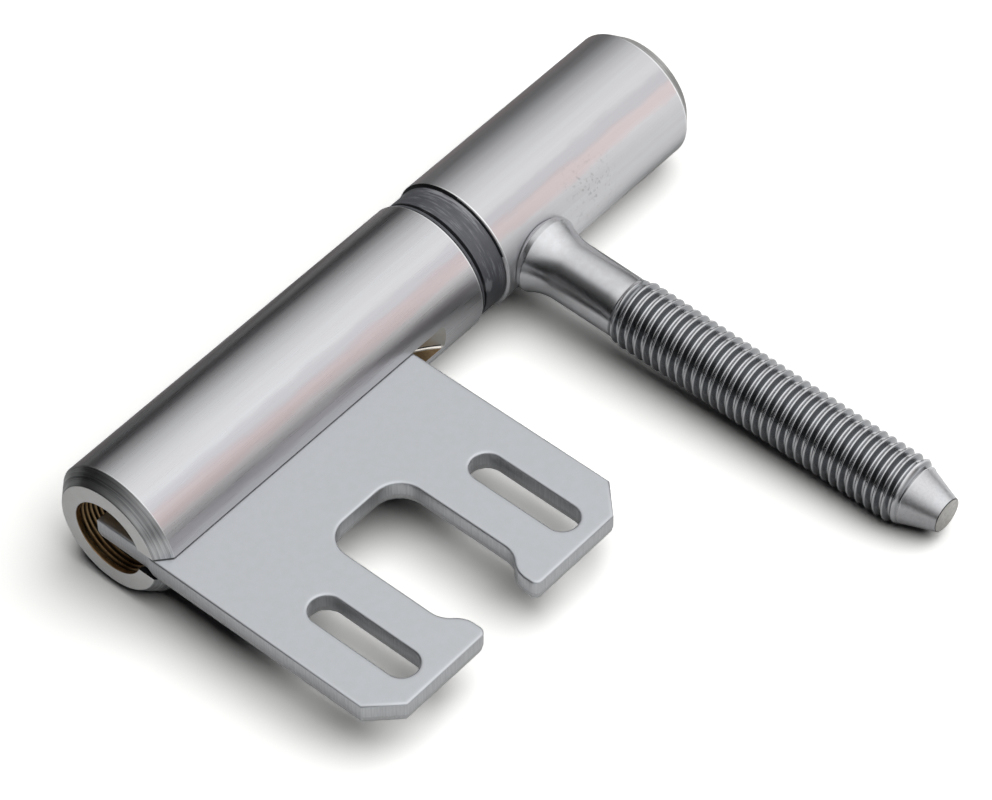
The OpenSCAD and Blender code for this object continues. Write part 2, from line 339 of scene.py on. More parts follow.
cutter_r = 14 * MM
cutter_x = 15.19 * MM
slit_floor = 3.05 * MM
slit_low = -1.4 * MM
slit_high = 1.38 * MM
slit_fillet = 0.25 * MM
bpy.ops.object.select_all(action="DESELECT")
bpy.ops.mesh.primitive_cylinder_add(
    vertices=240, radius=cutter_r, depth=slit_high - slit_low,
    location=(cutter_x, slit_floor + cutter_r, (slit_low + slit_high) / 2))
saw = bpy.context.object
bpy.ops.object.transform_apply()
bpy.ops.object.mode_set(mode="EDIT")
bpy.ops.mesh.select_mode(type="EDGE")
bpy.ops.mesh.select_all(action="DESELECT")
saw_mesh = bmesh.from_edit_mesh(saw.data)
for edge in saw_mesh.edges:
    edge.select = abs(edge.verts[0].co.z - edge.verts[1].co.z) < 0.01 * MM
bmesh.update_edit_mesh(saw.data)
bpy.ops.mesh.bevel(offset=slit_fillet, segments=3)
bpy.ops.mesh.select_mode(type="VERT")
bpy.ops.mesh.select_all(action="DESELECT")
saw_mesh = bmesh.from_edit_mesh(saw.data)
for v in saw_mesh.verts:
    v.select = v.co.x > cutter_x + 0.01 * MM
saw_mesh.select_flush_mode()
bmesh.update_edit_mesh(saw.data)
# The cutter's way on, out past the foot
bpy.ops.transform.translate(value=(40 * MM, 0, 0))
bpy.ops.object.mode_set(mode="OBJECT")
carve(frame_knuckle, saw)

slit_from_y = 3 * MM
run_out_x = 12 * MM


def at_run_out(c):
    """In the slit, where the cutter leaves the tube."""
    return c.y > slit_from_y and math.hypot(c.y, c.z) < barrel_r - 0.1 * MM and c.x < run_out_x


paint(frame_knuckle, zinc_tube)
# Painted highlight: bright rings on the bearing edge and at the foot's edge
paint(frame_knuckle, zinc_painted_highlight, lambda c, n: abs(c.x - bearing_edge - 0.06 * MM) < 0.08 * MM
      or abs(c.x - knuckle_len + foot_len) < 0.03 * MM)
# Painted shade on the bearing face and its chamfer, in the joint with the collar
paint(frame_knuckle, zinc_painted_shade, lambda c, n: c.x < bearing_edge - 0.02 * MM and n.x < -0.5)
paint(frame_knuckle, zinc_foot, lambda c, n: c.x > knuckle_len - foot_len + 0.05 * MM)
paint(frame_knuckle, zinc_end, lambda c, n: c.x > knuckle_len - 0.3 * MM and n.x > 0.9)
paint(frame_knuckle, zinc_bore, lambda c, n: math.hypot(c.y, c.z) < 4.6 * MM and abs(n.x) < 0.8)
paint(frame_knuckle, zinc_slit, lambda c, n: c.y > slit_from_y and c.x < knuckle_len - 0.01 * MM
      and slit_low - 0.01 * MM < c.z < slit_high + 0.01 * MM
      and math.hypot(c.y, c.z) < barrel_r - 0.01 * MM)
paint(frame_knuckle, zinc_pooled, lambda c, n: c.y > slit_from_y and n.z > 0.99
      and abs(c.z - slit_low) < 0.02 * MM)
# Painted shade: a dark band in the run-out just above the lower fillet
paint(frame_knuckle, zinc_painted_shade, lambda c, n: at_run_out(c) and 0.15 < n.z < 0.5
      and abs(c.z - slit_low) < 0.4 * MM)
# Painted highlight: a near-white band on the lower fillet at the run-out
paint(frame_knuckle, zinc_fillet_painted_highlight, lambda c, n: at_run_out(c) and 0.5 < n.z < 0.99
      and abs(c.z - slit_low) < 0.3 * MM)
smooth(frame_knuckle)
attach(frame_knuckle, "frame")
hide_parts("frame_knuckle")

# Leaf: a plate blanked in one blow from steel strip, so its upper edges are drawn in, its sides are
# burnished for half their height, and the rest has torn away. A tongue at its foot crosses the bore.
leaf_x = 9.8 * MM
leaf_end_x = knuckle_len
leaf_root = 4.3 * MM
leaf_reach = 33.3 * MM
leaf_corner = 2.9 * MM
tongue_x = 36.5 * MM
tongue_face = 43.2 * MM
tongue_end = -1.55 * MM
fork_x = 26.65 * MM
fork_half = 4.95 * MM
fork_bottom = 15.3 * MM
mouth_half = 3.35 * MM
hook_r = 2.7 * MM
hook_from = 29.19 * MM
hook_to = 30.775 * MM
burnish_top = 1.06 * MM
burnish_foot = -0.3 * MM


def rounded(corners, spacing=0.35 * MM):
    """Points along a closed outline of (x, y, corner radius), on its arcs and its straight runs."""
    points = []
    runs = []
    for i, (x, y, r) in enumerate(corners):
        here = Vector((x, y))
        if not r:
            runs.append([here])
            continue
        back = (Vector(corners[i - 1][:2]) - here).normalized()
        on = (Vector(corners[(i + 1) % len(corners)][:2]) - here).normalized()
        half = back.angle(on) / 2
        start = here + back * r / math.tan(half)
        centre = here + (back + on).normalized() * r / math.sin(half)
        sweep = (start - centre).angle_signed(here + on * r / math.tan(half) - centre)
        count = max(2, math.ceil(abs(sweep) * r / spacing),
                    math.ceil(abs(sweep) / math.radians(18)))
        arc = []
        for k in range(count + 1):
            arm = start - centre
            turn = -sweep * k / count
            arc.append(centre + Vector((arm.x * math.cos(turn) - arm.y * math.sin(turn),
                                        arm.x * math.sin(turn) + arm.y * math.cos(turn))))
        runs.append(arc)
    for i, arc in enumerate(runs):
        gap = runs[(i + 1) % len(runs)][0] - arc[-1]
        count = math.ceil(gap.length / spacing)
        points += arc + [arc[-1] + gap * k / count for k in range(1, count)]
    return [p for i, p in enumerate(points) if (p - points[i - 1]).length > 0.03 * MM]


def drawn_loop(points, z):
    """In edit mode, adds a circle of as many points and pulls each to its place on an outline."""
    bpy.ops.mesh.primitive_circle_add(vertices=len(points), radius=1)
    mesh = bmesh.from_edit_mesh(bpy.context.object.data)
    mesh.verts.ensure_lookup_table()
    for v, p in zip(mesh.verts[-len(points):], points):
        v.co = (p.x, p.y, z)
    bmesh.update_edit_mesh(bpy.context.object.data)


def pick_faces(piece, test):
    """In edit mode, selects the faces whose middle and normal pass the test."""
    bpy.ops.mesh.select_mode(type="FACE")
    bpy.ops.mesh.select_all(action="DESELECT")
    mesh = bmesh.from_edit_mesh(piece.data)
    for face in mesh.faces:
        face.select = test(face.calc_center_median(), face.normal)
    mesh.select_flush_mode()
    bmesh.update_edit_mesh(piece.data)


leaf_corners = [
    (leaf_x, leaf_root, 0),
    (tongue_x, leaf_root, 0.3 * MM),
    (tongue_x, tongue_end, 0),
    (tongue_face, tongue_end, 0),
    (tongue_face, leaf_root, 0),
    (leaf_end_x, leaf_root + 1 * MM, 0),
    (leaf_end_x, leaf_reach - leaf_corner, 0),
    (leaf_end_x - leaf_corner, leaf_reach, 0),
    (fork_x + mouth_half, leaf_reach, 0.8 * MM),
    (fork_x + mouth_half, hook_to, hook_r),
    (fork_x + fork_half, hook_from, hook_r),
    (fork_x + fork_half, fork_bottom, 2.7 * MM),
    (fork_x - fork_half, fork_bottom, 2.7 * MM),
    (fork_x - fork_half, hook_from, hook_r),
    (fork_x - mouth_half, hook_to, hook_r),
    (fork_x - mouth_half, leaf_reach, 0.8 * MM),
    (leaf_x + leaf_corner, leaf_reach, 0),
    (leaf_x, leaf_reach - leaf_corner, 0),
]
slots_at = (15.8 * MM, 37.5 * MM)
slot_half_w = 1.65 * MM
slot_end_r = 1.649 * MM
slot_low = 19.3 * MM
slot_high = 31.5 * MM

bpy.ops.object.select_all(action="DESELECT")
bpy.ops.mesh.primitive_plane_add(size=1)
frame_leaf = bpy.context.object
frame_leaf.name = "forked_leaf"
bpy.ops.object.mode_set(mode="EDIT")
bpy.ops.mesh.delete(type="VERT")
drawn_loop(rounded(leaf_corners), burnish_top)
for slot_x in slots_at:
    drawn_loop(rounded([(slot_x + side * slot_half_w, y, slot_end_r) for side, y in
                        ((-1, slot_low), (1, slot_low), (1, slot_high), (-1, slot_high))]),
               burnish_top)
bpy.ops.mesh.select_all(action="SELECT")
bpy.ops.mesh.fill()
bpy.ops.mesh.select_all(action="SELECT")
bpy.ops.mesh.dissolve_degenerate(threshold=0.001 * MM)
bpy.ops.mesh.select_all(action="SELECT")
bpy.ops.mesh.delete_loose()
bpy.ops.mesh.select_all(action="SELECT")
bpy.ops.mesh.dissolve_limited(angle_limit=math.radians(1))
bpy.ops.mesh.select_all(action="SELECT")
bpy.ops.mesh.extrude_region_move(
    TRANSFORM_OT_translate={"value": (0, 0, burnish_foot - burnish_top)})
bpy.ops.mesh.select_all(action="SELECT")
bpy.ops.mesh.normals_make_consistent(inside=False)
# The upper edge is drawn in by the punch: steep at the side, flat where it meets the face
pick_faces(frame_leaf, lambda c, n: n.z > 0.9)
for step_in, step_up in ((0.015, 0.06), (0.04, 0.055), (0.07, 0.045), (0.1, 0.025), (0.15, 0.005),
                         (0.2, 0)):
    bpy.ops.mesh.inset(thickness=step_in * MM, depth=step_up * MM)
# Below the burnish the metal has torn away and slopes in
pick_faces(frame_leaf, lambda c, n: n.z < -0.9)
for step_in, step_down in ((0.06, 0.3), (0.06, 0.3), (0.08, 0.27), (0.1, 0.08), (0.3, 0)):
    bpy.ops.mesh.inset(thickness=step_in * MM, depth=step_down * MM)
# The tear is ragged down to the lower face
tear_end = -1.2 * MM
bpy.ops.mesh.select_mode(type="VERT")
bpy.ops.mesh.select_all(action="DESELECT")
leaf_mesh = bmesh.from_edit_mesh(frame_leaf.data)
for v in leaf_mesh.verts:
    v.select = tear_end < v.co.z < burnish_foot + 0.01 * MM
leaf_mesh.select_flush_mode()
bmesh.update_edit_mesh(frame_leaf.data)
bpy.ops.transform.vertex_random(offset=0.03 * MM, uniform=0.5, normal=0, seed=4)
bpy.ops.object.mode_set(mode="OBJECT")

# Strip steel under satin zinc: a pale, slightly blue grey with a fine even grain
zinc_strip = plated("zinc_strip", "#d6d9dd", "#ced1d6", "#fdfdfc", (0.38, 0.43), 0.09 * MM,
                    0.0003 * MM)


def sheared_zinc():
    """Blanked sides: upright scoring over the burnish, then a darker grey tear with a dull grain."""
    material, tree, shader = finish("zinc_sheared", {"Metallic": 1})
    place = tree.nodes.new("ShaderNodeTexCoord").outputs["Object"]
    upright = node(tree, "Mapping", {"Vector": place, "Scale": (1, 1, 0.04)})
    score = node(tree, "TexNoise", {"Vector": upright, "Scale": 1 / (0.16 * MM), "Detail": 3,
                                    "Roughness": 0.65})
    grain = node(tree, "TexNoise", {"Vector": place, "Scale": 1 / (0.14 * MM), "Detail": 3})
    height = node(tree, "SeparateXYZ", {"Vector": place}).node.outputs["Z"]
    wander = node(tree, "MapRange", {0: score, 3: -0.25 * MM, 4: 0.25 * MM})
    line = node(tree, "Math", {0: height, 1: wander}, operation="ADD")
    torn = node(tree, "MapRange", {0: line, 1: burnish_foot + 0.08 * MM,
                                   2: burnish_foot - 0.08 * MM})
    bright = node(tree, "Mix", {0: score, 6: linear("#b0b3b7"), 7: linear("#eceef0")},
                  data_type="RGBA").node.outputs[2]
    dull = node(tree, "Mix", {0: grain, 6: linear("#b0b1b3"), 7: linear("#e2e3e4")},
                data_type="RGBA").node.outputs[2]
    grey = node(tree, "Mix", {0: torn, 6: bright, 7: dull}, data_type="RGBA").node.outputs[2]
    tree.links.new(grey, shader.inputs["Base Color"])
    gloss = node(tree, "MapRange", {0: torn, 3: 0.3, 4: 0.52})
    tree.links.new(gloss, shader.inputs["Roughness"])
    relief = node(tree, "Mix", {0: torn, 2: score, 3: grain})
    bump = node(tree, "Bump", {"Height": relief, "Strength": 1, "Distance": 0.03 * MM})
    tree.links.new(bump, shader.inputs["Normal"])
    return material


paint(frame_leaf, zinc_strip)
paint(frame_leaf, sheared_zinc(), lambda c, n: tear_end < c.z < burnish_top + 0.01 * MM)
smooth(frame_leaf, 40)
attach(frame_leaf, "frame")
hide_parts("frame_leaf")

# Bush: a sleeve with a collar, moulded in dark grey polyamide. The sleeve slides into the frame
# knuckle and the collar carries the door. A groove parts it from a thin lip at the frame side.
collar_h = 3.5 * MM
collar_r = 6.7 * MM
lip_r = 6.82 * MM
lip_h = 0.3 * MM
groove_r = 6.1 * MM
groove_h = 0.4 * MM
sleeve_r = 3.9 * MM
sleeve_len = 20 * MM
bush_bore = 3.05 * MM
bush_seam = 2 * MM

bearing_bush = turned("collared_bush", eased([
    (bush_seam, bush_bore),
    (-collar_h, bush_bore, 0.1 * MM),
    (-collar_h, collar_r, 0.12 * MM),
    (-lip_h - groove_h, collar_r, 0.05 * MM),
    (-lip_h - groove_h, groove_r, 0.05 * MM),
    (-lip_h, groove_r, 0.05 * MM),
    (-lip_h, lip_r, 0.06 * MM),
    (0, lip_r, 0.06 * MM),
    (0, sleeve_r),
    (sleeve_len, sleeve_r, 0.3 * MM),
    (sleeve_len, bush_bore, 0.2 * MM),
    (bush_seam, bush_bore),
]))


def moulded_polyamide():
    """Glass-filled polyamide: a dark grey with a soft sheen, faint flow marks, a spark-eroded grain,
    pale scuffs round the pin, worn lines above at the door's edge and a trace of mould flash."""
    material, tree, shader = finish("moulded_polyamide", {"IOR": 1.53})
    place = tree.nodes.new("ShaderNodeTexCoord").outputs["Object"]
    grain = node(tree, "TexNoise", {"Vector": place, "Scale": 1 / (0.1 * MM), "Detail": 3})
    flow = node(tree, "TexNoise", {"Vector": place, "Scale": 1 / (1.5 * MM), "Detail": 2})
    grey = node(tree, "Mix", {0: flow, 6: linear("#45464b"), 7: linear("#5c5d62")},
                data_type="RGBA").node.outputs[2]
    tree.links.new(grey, shader.inputs["Base Color"])
    around = node(tree, "Mapping", {"Vector": place, "Scale": (1, 0.08, 0.08)})
    rubbed = node(tree, "TexNoise", {"Vector": around, "Scale": 1 / (0.22 * MM), "Detail": 4,
                                     "Roughness": 0.7})
    where = node(tree, "TexNoise", {"Vector": place, "Scale": 1 / (3.2 * MM), "Detail": 2})
    scuffs = node(tree, "MapRange", {0: rubbed, 1: 0.52, 2: 0.7, 3: 0, 4: 0.8})
    scuffed = node(tree, "MapRange", {0: where, 1: 0.42, 2: 0.6})
    mixed_in(material, node(tree, "Math", {0: scuffs, 1: scuffed}, operation="MULTIPLY"), "#8d8e92")
    axes = node(tree, "SeparateXYZ", {"Vector": place}).node.outputs
    edge = node(tree, "MapRange", {0: axes["X"], 1: -2.5 * MM, 2: -3.1 * MM})
    worn = node(tree, "MapRange", {0: rubbed, 1: 0.42, 2: 0.58, 3: 0, 4: 0.75})
    above = node(tree, "MapRange", {0: axes["Z"], 1: 4.5 * MM, 2: 6 * MM})
    lines = node(tree, "Math", {0: edge, 1: worn}, operation="MULTIPLY")
    mixed_in(material, node(tree, "Math", {0: lines, 1: above}, operation="MULTIPLY"), "#a0a1a5")
    blob = node(tree, "VectorMath", {0: place, 1: (-0.95 * MM, 6.6 * MM, 1.2 * MM)},
                operation="DISTANCE").node.outputs["Value"]
    ragged = node(tree, "MapRange", {0: rubbed, 3: -0.9 * MM, 4: 0.9 * MM})
    blob = node(tree, "Math", {0: blob, 1: ragged}, operation="ADD")
    flash = node(tree, "MapRange", {0: blob, 1: 0.75 * MM, 2: 0.5 * MM, 3: 0, 4: 0.7})
    mixed_in(material, flash, "#8e9094")
    gloss = node(tree, "MapRange", {0: grain, 1: 0.3, 2: 0.7, 3: 0.38, 4: 0.52})
    tree.links.new(gloss, shader.inputs["Roughness"])
    bump = node(tree, "Bump", {"Height": grain, "Strength": 1, "Distance": 0.006 * MM})
    tree.links.new(bump, shader.inputs["Normal"])
    return material


paint(bearing_bush, moulded_polyamide())
smooth(bearing_bush)
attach(bearing_bush, "bearing")
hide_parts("bearing_bush")

# Pin: turned from bright steel with a yellow passivated coat, pressed into the door knuckle and free
# in the bush. It shows only when the door is lifted off.
pin_r = 3 * MM
pin_top = -19.5 * MM
pin_foot = 22 * MM
pin_chamfer = 0.6 * MM

hinge_pin = turned("turned_pin", eased([
    (pin_top, 0.2 * MM),
    (pin_top, pin_r - pin_chamfer, 0.1 * MM),
    (pin_top + pin_chamfer, pin_r, 0.1 * MM),
    (pin_foot - pin_chamfer, pin_r, 0.1 * MM),
    (pin_foot, pin_r - pin_chamfer, 0.1 * MM),
    (pin_foot, 0.2 * MM),
]), longest=2 * MM, steps=96)
# Yellow passivated steel: a warm straw grey with faint turning rings
paint(hinge_pin, zinc_turned("yellow_zinc", "#b9a47a", "#9f8a60", 0.2 * MM, 0.001 * MM, 0.3))
smooth(hinge_pin)
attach(hinge_pin, "door")
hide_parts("hinge_pin")

# Door knuckle: a bar of the same diameter, bored for the pin and closed at the far end, where a
# turned chamfer leads to a flat face. It has the same plated skin as the tube below it.
door_face = -3.5 * MM
door_top = -31.5 * MM
cap_len = 1.5 * MM
cap_depth = 1.25 * MM
pin_hole = 3.01 * MM

door_knuckle = turned("door_barrel", eased([
    (pin_top, 0.2 * MM),
    (pin_top, pin_hole),
    (door_face, pin_hole, 0.1 * MM),
    (door_face, barrel_r - bearing_edge, 0.06 * MM),
    (door_face - bearing_edge / 2, barrel_r - bearing_edge / 2),
    (door_face - bearing_edge, barrel_r, 0.06 * MM),
    (door_top + cap_len, barrel_r, 0.08 * MM),
    (door_top, barrel_r - cap_depth, 0.15 * MM),
    (door_top, 0.2 * MM),
]))
# Turned cap: paler than the foot, with rings that hardly show
zinc_cap = zinc_turned("zinc_cap", "#dededc", "#c4c4c2", 0.2 * MM, 0.002 * MM, 0.4)
# Its skin is a little duller than the tube's, with a patch of small pits beside the stud
zinc_bar = plated("zinc_bar", "#dadbdd", "#cecfd2", "#faf8f8", (0.38, 0.46), 0.12 * MM,
                  0.0004 * MM, (0.02, 1, 1))
# Painted reflection with a passivation tint: the same kind of bands on the bar
passivation_and_painted_reflection(zinc_bar, ((36, 8, "#f0eff1", 0.04), (47, 9, "#fff2f1", 0.06)))
bar_tree = zinc_bar.node_tree
bar_place = bar_tree.nodes.new("ShaderNodeTexCoord").outputs["Object"]
from_patch = node(bar_tree, "VectorMath", {0: bar_place, 1: (-15.9 * MM, 6.6 * MM, 2.1 * MM)},
                  operation="DISTANCE").node.outputs["Value"]
patch = node(bar_tree, "MapRange", {0: from_patch, 1: 5 * MM, 2: 1 * MM})
marks = node(bar_tree, "TexNoise", {"Vector": bar_place, "Scale": 1 / (0.45 * MM), "Detail": 3,
                                    "Roughness": 0.6})
pits = node(bar_tree, "MapRange", {0: marks, 1: 0.56, 2: 0.68, 3: 0, 4: 1})
pits = node(bar_tree, "Math", {0: pits, 1: patch}, operation="MULTIPLY")
mixed_in(zinc_bar, node(bar_tree, "Math", {0: pits, 1: 0.3}, operation="MULTIPLY"), "#77787a")
bar_normal = bar_tree.nodes["Principled BSDF"].inputs["Normal"]
pitted = node(bar_tree, "Bump", {"Height": pits, "Strength": 1, "Distance": 0.02 * MM,
                                 "Normal": bar_normal.links[0].from_socket}, invert=True)
bar_tree.links.new(pitted, bar_normal)
paint(door_knuckle, zinc_bar)
# Painted highlight: bright rings next to the chamfer by the collar and at the cap's edge
paint(door_knuckle, zinc_painted_highlight,
      lambda c, n: abs(c.x - door_face + bearing_edge + 0.06 * MM) < 0.08 * MM
      or abs(c.x - door_top - cap_len - 0.04 * MM) < 0.09 * MM)
# Painted shade on the upper part of the chamfer by the collar, wider on the side away from the leaf
paint(door_knuckle, zinc_painted_shade, lambda c, n: n.x > 0.5 and c.z > 2.9 * MM
      and c.x > door_face - bearing_edge * (0.9 if c.y < 0.5 * MM else 0.5))
paint(door_knuckle, zinc_cap, lambda c, n: c.x < door_top + cap_len - 0.03 * MM)
smooth(door_knuckle)
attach(door_knuckle, "door")
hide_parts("door_knuckle")

# Stud: turned from bar with a flared neck, a rolled M7 thread and a cone for finding the hole. Its
# bevelled foot is saddled on the door knuckle, and it hangs a little below the plane of the leaf.
stud_x = -8.5 * MM
stud_droop = math.radians(1.25)
stud_reach = 54.9 * MM
rim_r = 3.95 * MM
rim_low = 6.85 * MM
rim_top = 7.45 * MM
rim_bevel = 1.2 * MM
flare_end = 10.65 * MM
shank_r = 3.1 * MM
crest_r = 3.45 * MM
root_r = 2.86 * MM
thread_from = 17.4 * MM
thread_to = 51.4 * MM
thread_pitch = 1 * MM
tip_from = 51.4 * MM
tip_root_r = 2.95 * MM
tip_r = 1.75 * MM
spigot_r = 2.49 * MM
spigot_from = 4 * MM
saddle_seam = 0.06 * MM

flare = rim_r - shank_r
flare_r = ((flare_end - rim_top) ** 2 + flare ** 2) / (2 * flare)
neck = []
for k in range(1, 12):
    along = rim_top + (flare_end - rim_top) * k / 12
    neck.append((along, shank_r + flare_r - math.sqrt(flare_r ** 2 - (flare_end - along) ** 2)))
door_stud = turned("threaded_stud", eased([
    (spigot_from, 0.2 * MM),
    (spigot_from, spigot_r),
    (rim_low - rim_bevel, spigot_r),
    (rim_low - rim_bevel, rim_r - rim_bevel),
    (rim_low, rim_r, 0.05 * MM),
    (rim_top, rim_r, 0.06 * MM),
    *neck,
    (flare_end, shank_r),
    (thread_from, shank_r),
    (thread_to, shank_r),
    (tip_from + 0.01 * MM, tip_root_r, 0.05 * MM),
    (stud_reach, tip_r, 0.08 * MM),
    (stud_reach, 0.2 * MM),
]), steps=112)
bpy.ops.object.select_all(action="DESELECT")
bpy.ops.mesh.primitive_cylinder_add(vertices=256, radius=barrel_r + saddle_seam, depth=24 * MM,
                                    rotation=(math.pi / 2, 0, 0))
carve(door_stud, bpy.context.object)
shank_zone = (shank_r - 0.05 * MM, shank_r + 0.05 * MM)
subdivide_along(door_stud, 19, thread_from - 0.01 * MM, thread_to + 0.01 * MM, *shank_zone)

# Round root, straight flank and a narrow crest
rolled_form = [(0, 0), (0.06, 0.01), (0.1, 0.045), (0.14, 0.12), (0.21, 0.326), (0.28, 0.532),
               (0.34, 0.71), (0.395, 0.89), (0.42, 0.955), (0.45, 0.992), (0.5, 1)]


def rolled(level, x):
    """Crests rise from the shank and sink into the cone within about a turn."""
    r = root_r + (crest_r - root_r) * level
    lead = max(0, min(1, (x - thread_from) / (1.1 * MM)))
    tail = max(0, min(1, (thread_to - x) / (0.9 * MM)))
    r = tip_root_r + (shank_r + (r - shank_r) * lead - tip_root_r) * tail
    return r, min(lead, tail)


cut_thread(door_stud, thread_from, thread_to, *shank_zone, thread_pitch, rolled_form, rolled)
bpy.ops.object.select_all(action="DESELECT")
bpy.context.view_layer.objects.active = door_stud
door_stud.select_set(True)
door_stud.location = (stud_x, 0, 0)
door_stud.rotation_euler = (0, stud_droop, math.pi / 2)
bpy.ops.object.transform_apply()

# Rolled and plated: the brightest skin of all, with painted shade that darkens the flanks of the thread
zinc_rolled = plated("zinc_rolled", "#dcdee0", "#d0d1d4", "#faf8f8", (0.2, 0.26), 0.1 * MM,
                     0.0003 * MM)
rolled_tree = zinc_rolled.node_tree
groove = node(rolled_tree, "Attribute", attribute_name="groove").node.outputs["Fac"]
from_flank = node(rolled_tree, "Math", {0: groove, 1: 2.0, 2: -1.0}, operation="MULTIPLY_ADD")
from_flank = node(rolled_tree, "Math", {0: from_flank}, operation="ABSOLUTE")
# Painted shade: a darker grey across the flanks of the thread
flank_painted_shade = node(rolled_tree, "MapRange", {0: from_flank, 1: 0.94, 2: 0.7, 3: 0, 4: 0.75})
mixed_in(zinc_rolled, flank_painted_shade, "#7c7f83")
# Sawn end: a dull grey grain
zinc_sawn = plated("zinc_sawn", "#e6e5e2", "#8c8b88", "#f4f2ee", (0.45, 0.55), 0.2 * MM, 0.008 * MM)
# Cone: turned after rolling, so it is a little rough
zinc_cone = plated("zinc_cone", "#e2e3e5", "#bcbdc0", "#faf8f8", (0.27, 0.4), 0.28 * MM,
                   0.003 * MM)
paint(door_stud, zinc_rolled)
paint(door_stud, zinc_cone, lambda c, n: c.y > tip_from + 0.2 * MM)
# Painted shade under the stud's bevelled foot, in the seam with the door knuckle
paint(door_stud, zinc_painted_shade, lambda c, n: c.y < rim_low + 0.02 * MM and n.y < -0.3
      and c.z < 1.5 * MM)
# Painted shade on the edge round the stud's tip
paint(door_stud, zinc_painted_shade, lambda c, n: c.y > stud_reach - 0.12 * MM and 0.45 < n.y < 0.95)
paint(door_stud, zinc_sawn, lambda c, n: c.y > stud_reach - 0.2 * MM and n.y > 0.95)
smooth(door_stud)
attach(door_stud, "door")
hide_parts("door_stud")

# Table: a white board. The hinge lies on its barrel and the last threads of the stud, so the board
# is tilted about the pin by a few degrees against the leaf.
table_tilt = math.radians(2.8)
bpy.ops.object.select_all(action="DESELECT")
bpy.ops.mesh.primitive_plane_add(size=6)
table = bpy.context.object
table.name = "white_table"
table.rotation_euler = (table_tilt, 0, 0)
table.location = (0, barrel_r * math.sin(table_tilt), -barrel_r * math.cos(table_tilt))
table_white, table_tree, table_shader = finish("white_board", {})
table_tree.nodes.remove(table_shader)
table_place = table_tree.nodes.new("ShaderNodeTexCoord").outputs["Object"]
table_axes = node(table_tree, "SeparateXYZ", {"Vector": table_place}).node.outputs
# Painted shade and light on the board as the metal shows it, as a share of white: dim behind the pin,
# close under the door knuckle, beside the stud and far off, and brighter before the leaf
behind_pin = node(table_tree, "MapRange", {0: table_axes["Y"], 1: -34 * MM, 2: 2 * MM, 3: 0.25, 4: 1},
                  interpolation_type="SMOOTHSTEP")
from_pin = node(table_tree, "Math", {0: table_axes["Y"], 1: 3 * MM}, operation="SUBTRACT")
from_pin = node(table_tree, "Math", {0: from_pin}, operation="ABSOLUTE")
in_open = node(table_tree, "MapRange", {0: from_pin, 1: 4.5 * MM, 2: 7.5 * MM},
               interpolation_type="SMOOTHSTEP")
under_door = node(table_tree, "MapRange", {0: table_axes["X"], 1: -30 * MM, 2: -12 * MM, 3: 0.25, 4: 1},
                  interpolation_type="SMOOTHSTEP")
under_door = node(table_tree, "Mix", {0: in_open, 2: under_door, 3: 1.0})
by_stud = node(table_tree, "MapRange", {0: table_axes["X"], 1: -13 * MM, 2: -7 * MM, 3: 1.05, 4: 0.48},
               interpolation_type="SMOOTHSTEP")
by_leaf = node(table_tree, "MapRange", {0: table_axes["X"], 1: 0 * MM, 2: 8 * MM, 3: 1, 4: 1.35},
               interpolation_type="SMOOTHSTEP")
far_side = node(table_tree, "MapRange", {0: table_axes["Y"], 1: 70 * MM, 2: 120 * MM, 3: 1, 4: 0.35})
mirrored = behind_pin
for share in (under_door, by_stud, by_leaf, far_side):
    mirrored = node(table_tree, "Math", {0: mirrored, 1: share}, operation="MULTIPLY")
table_path = table_tree.nodes.new("ShaderNodeLightPath").outputs
unscattered = node(table_tree, "Math", {0: table_path["Diffuse Depth"], 1: 0.5},
                   operation="LESS_THAN")
in_metal = node(table_tree, "Math", {0: table_path["Is Glossy Ray"], 1: unscattered},
                operation="MULTIPLY")
board = node(table_tree, "Mix", {0: in_metal, 2: 0.05, 3: mirrored})
board = node(table_tree, "Mix", {0: table_path["Is Camera Ray"], 6: board, 7: (1.48, 1.48, 1.45, 1)},
             data_type="RGBA").node.outputs[2]
table_face = node(table_tree, "BsdfDiffuse", {"Color": board})
# Far from the hinge the eye sees the board as plain white, so that no horizon shows
table_far = node(table_tree, "VectorMath", {0: table_place}, operation="LENGTH").node.outputs["Value"]
paper = node(table_tree, "MapRange", {0: table_far, 1: 160 * MM, 2: 340 * MM},
             interpolation_type="SMOOTHSTEP")
paper = node(table_tree, "Math", {0: paper, 1: table_path["Is Camera Ray"]}, operation="MULTIPLY")
table_face = node(table_tree, "MixShader", {0: paper, 1: table_face, 2: node(table_tree, "Emission")})
table_tree.links.new(table_face, table_tree.nodes["Material Output"].inputs["Surface"])
table.data.materials.append(table_white)

# Light: a wide soft box above the leaf casts the shadows, and a white card brightens the side of the
# door knuckle. The metal shows the room: a pale ceiling that fades towards the floor, a dark left side
# and a warm wall low on the right. The eye sees only white.
soft_box_way = Vector((-0.196, 0.28, 0.94))
bpy.ops.object.light_add(type="AREA", location=soft_box_way,
                         rotation=soft_box_way.to_track_quat("Z", "Y").to_euler())
soft_box = bpy.context.object
soft_box.data.shape = "DISK"
soft_box.data.size = 1.5
soft_box.data.energy = 13.8
soft_box.visible_glossy = False

card_size = Vector((80, 56)) * MM
bpy.ops.object.light_add(type="AREA", location=(-98 * MM, 95 * MM, 26 * MM),
                         rotation=(-math.pi / 2, 0, 0))
card = bpy.context.object
card.data.shape = "RECTANGLE"
card.data.size, card.data.size_y = card_size
card.data.energy = 0.68 * math.pi * card_size.x * card_size.y
card.visible_camera = False
card.visible_diffuse = False

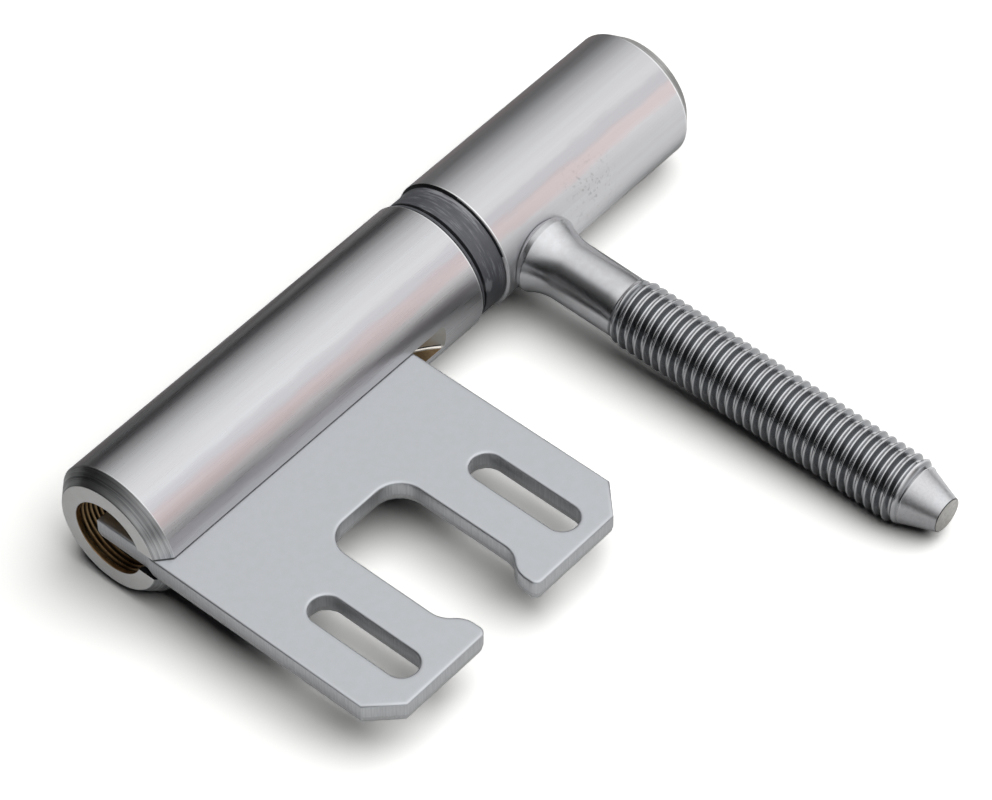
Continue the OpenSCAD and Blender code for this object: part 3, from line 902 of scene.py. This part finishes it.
room = bpy.data.worlds.new("pale_room")
bpy.context.scene.world = room
room.use_nodes = True
sky = room.node_tree
direction = sky.nodes.new("ShaderNodeTexCoord").outputs["Generated"]
slope = node(sky, "VectorMath", {0: direction, 1: (-0.25, 0.35, 1)},
             operation="DOT_PRODUCT").node.outputs["Value"]
ceiling = node(sky, "MapRange", {0: slope, 1: 0.02, 2: 1.07, 3: 0.04, 4: 1.22})
sideways = node(sky, "VectorMath", {0: direction, 1: (1, -0.6, 0)},
                operation="DOT_PRODUCT").node.outputs["Value"]
dark_side = node(sky, "MapRange", {0: sideways, 1: 0.48, 2: 0.85, 3: 1, 4: 0.22},
                 interpolation_type="SMOOTHSTEP")
height = node(sky, "SeparateXYZ", {"Vector": direction}).node.outputs["Z"]
horizon = node(sky, "MapRange", {0: height, 1: 0.02, 2: 0.28, 3: 0.6, 4: 1},
               interpolation_type="SMOOTHSTEP")
level = node(sky, "Math", {0: ceiling, 1: dark_side}, operation="MULTIPLY")
level = node(sky, "Math", {0: level, 1: horizon}, operation="MULTIPLY")
path = sky.nodes.new("ShaderNodeLightPath").outputs
seen = node(sky, "Math", {0: path["Is Camera Ray"], 1: path["Is Transmission Ray"]},
            operation="MAXIMUM")
direct = node(sky, "Math", {0: path["Diffuse Depth"], 1: 0.5}, operation="LESS_THAN")
mirrors = node(sky, "Math", {0: path["Is Glossy Ray"], 1: direct}, operation="MULTIPLY")
shown = node(sky, "Math", {0: level, 1: mirrors}, operation="MULTIPLY")
strength = node(sky, "Mix", {0: seen, 2: shown, 3: 1.0})
sky.links.new(strength, sky.nodes["Background"].inputs["Strength"])
to_wall = node(sky, "VectorMath", {0: direction, 1: (-0.5, 0.8, 0.33)},
               operation="DOT_PRODUCT").node.outputs["Value"]
wall = node(sky, "MapRange", {0: to_wall, 1: 0.93, 2: 0.99}, interpolation_type="SMOOTHSTEP")
not_seen = node(sky, "Math", {0: 1.0, 1: seen}, operation="SUBTRACT")
warm = node(sky, "Math", {0: wall, 1: not_seen}, operation="MULTIPLY")
tone = node(sky, "Mix", {0: warm, 6: linear("#ffffff"), 7: linear("#fbf5f3")},
            data_type="RGBA").node.outputs[2]
sky.links.new(tone, sky.nodes["Background"].inputs["Color"])

# Camera: above the outer end of the leaf, with the pin running away up the picture. A long lens from
# under half a metre keeps the barrels nearly parallel.
bpy.ops.object.camera_add(location=(0.2206, 0.1989, 0.32442),
                          rotation=[math.radians(a) for a in (40.834, 0.052, 130.748)])
camera = bpy.context.object
camera.data.lens = 169.26
camera.data.sensor_width = 36
camera.data.clip_end = 20
bpy.context.scene.camera = camera
bpy.context.scene.view_settings.view_transform = "Standard"
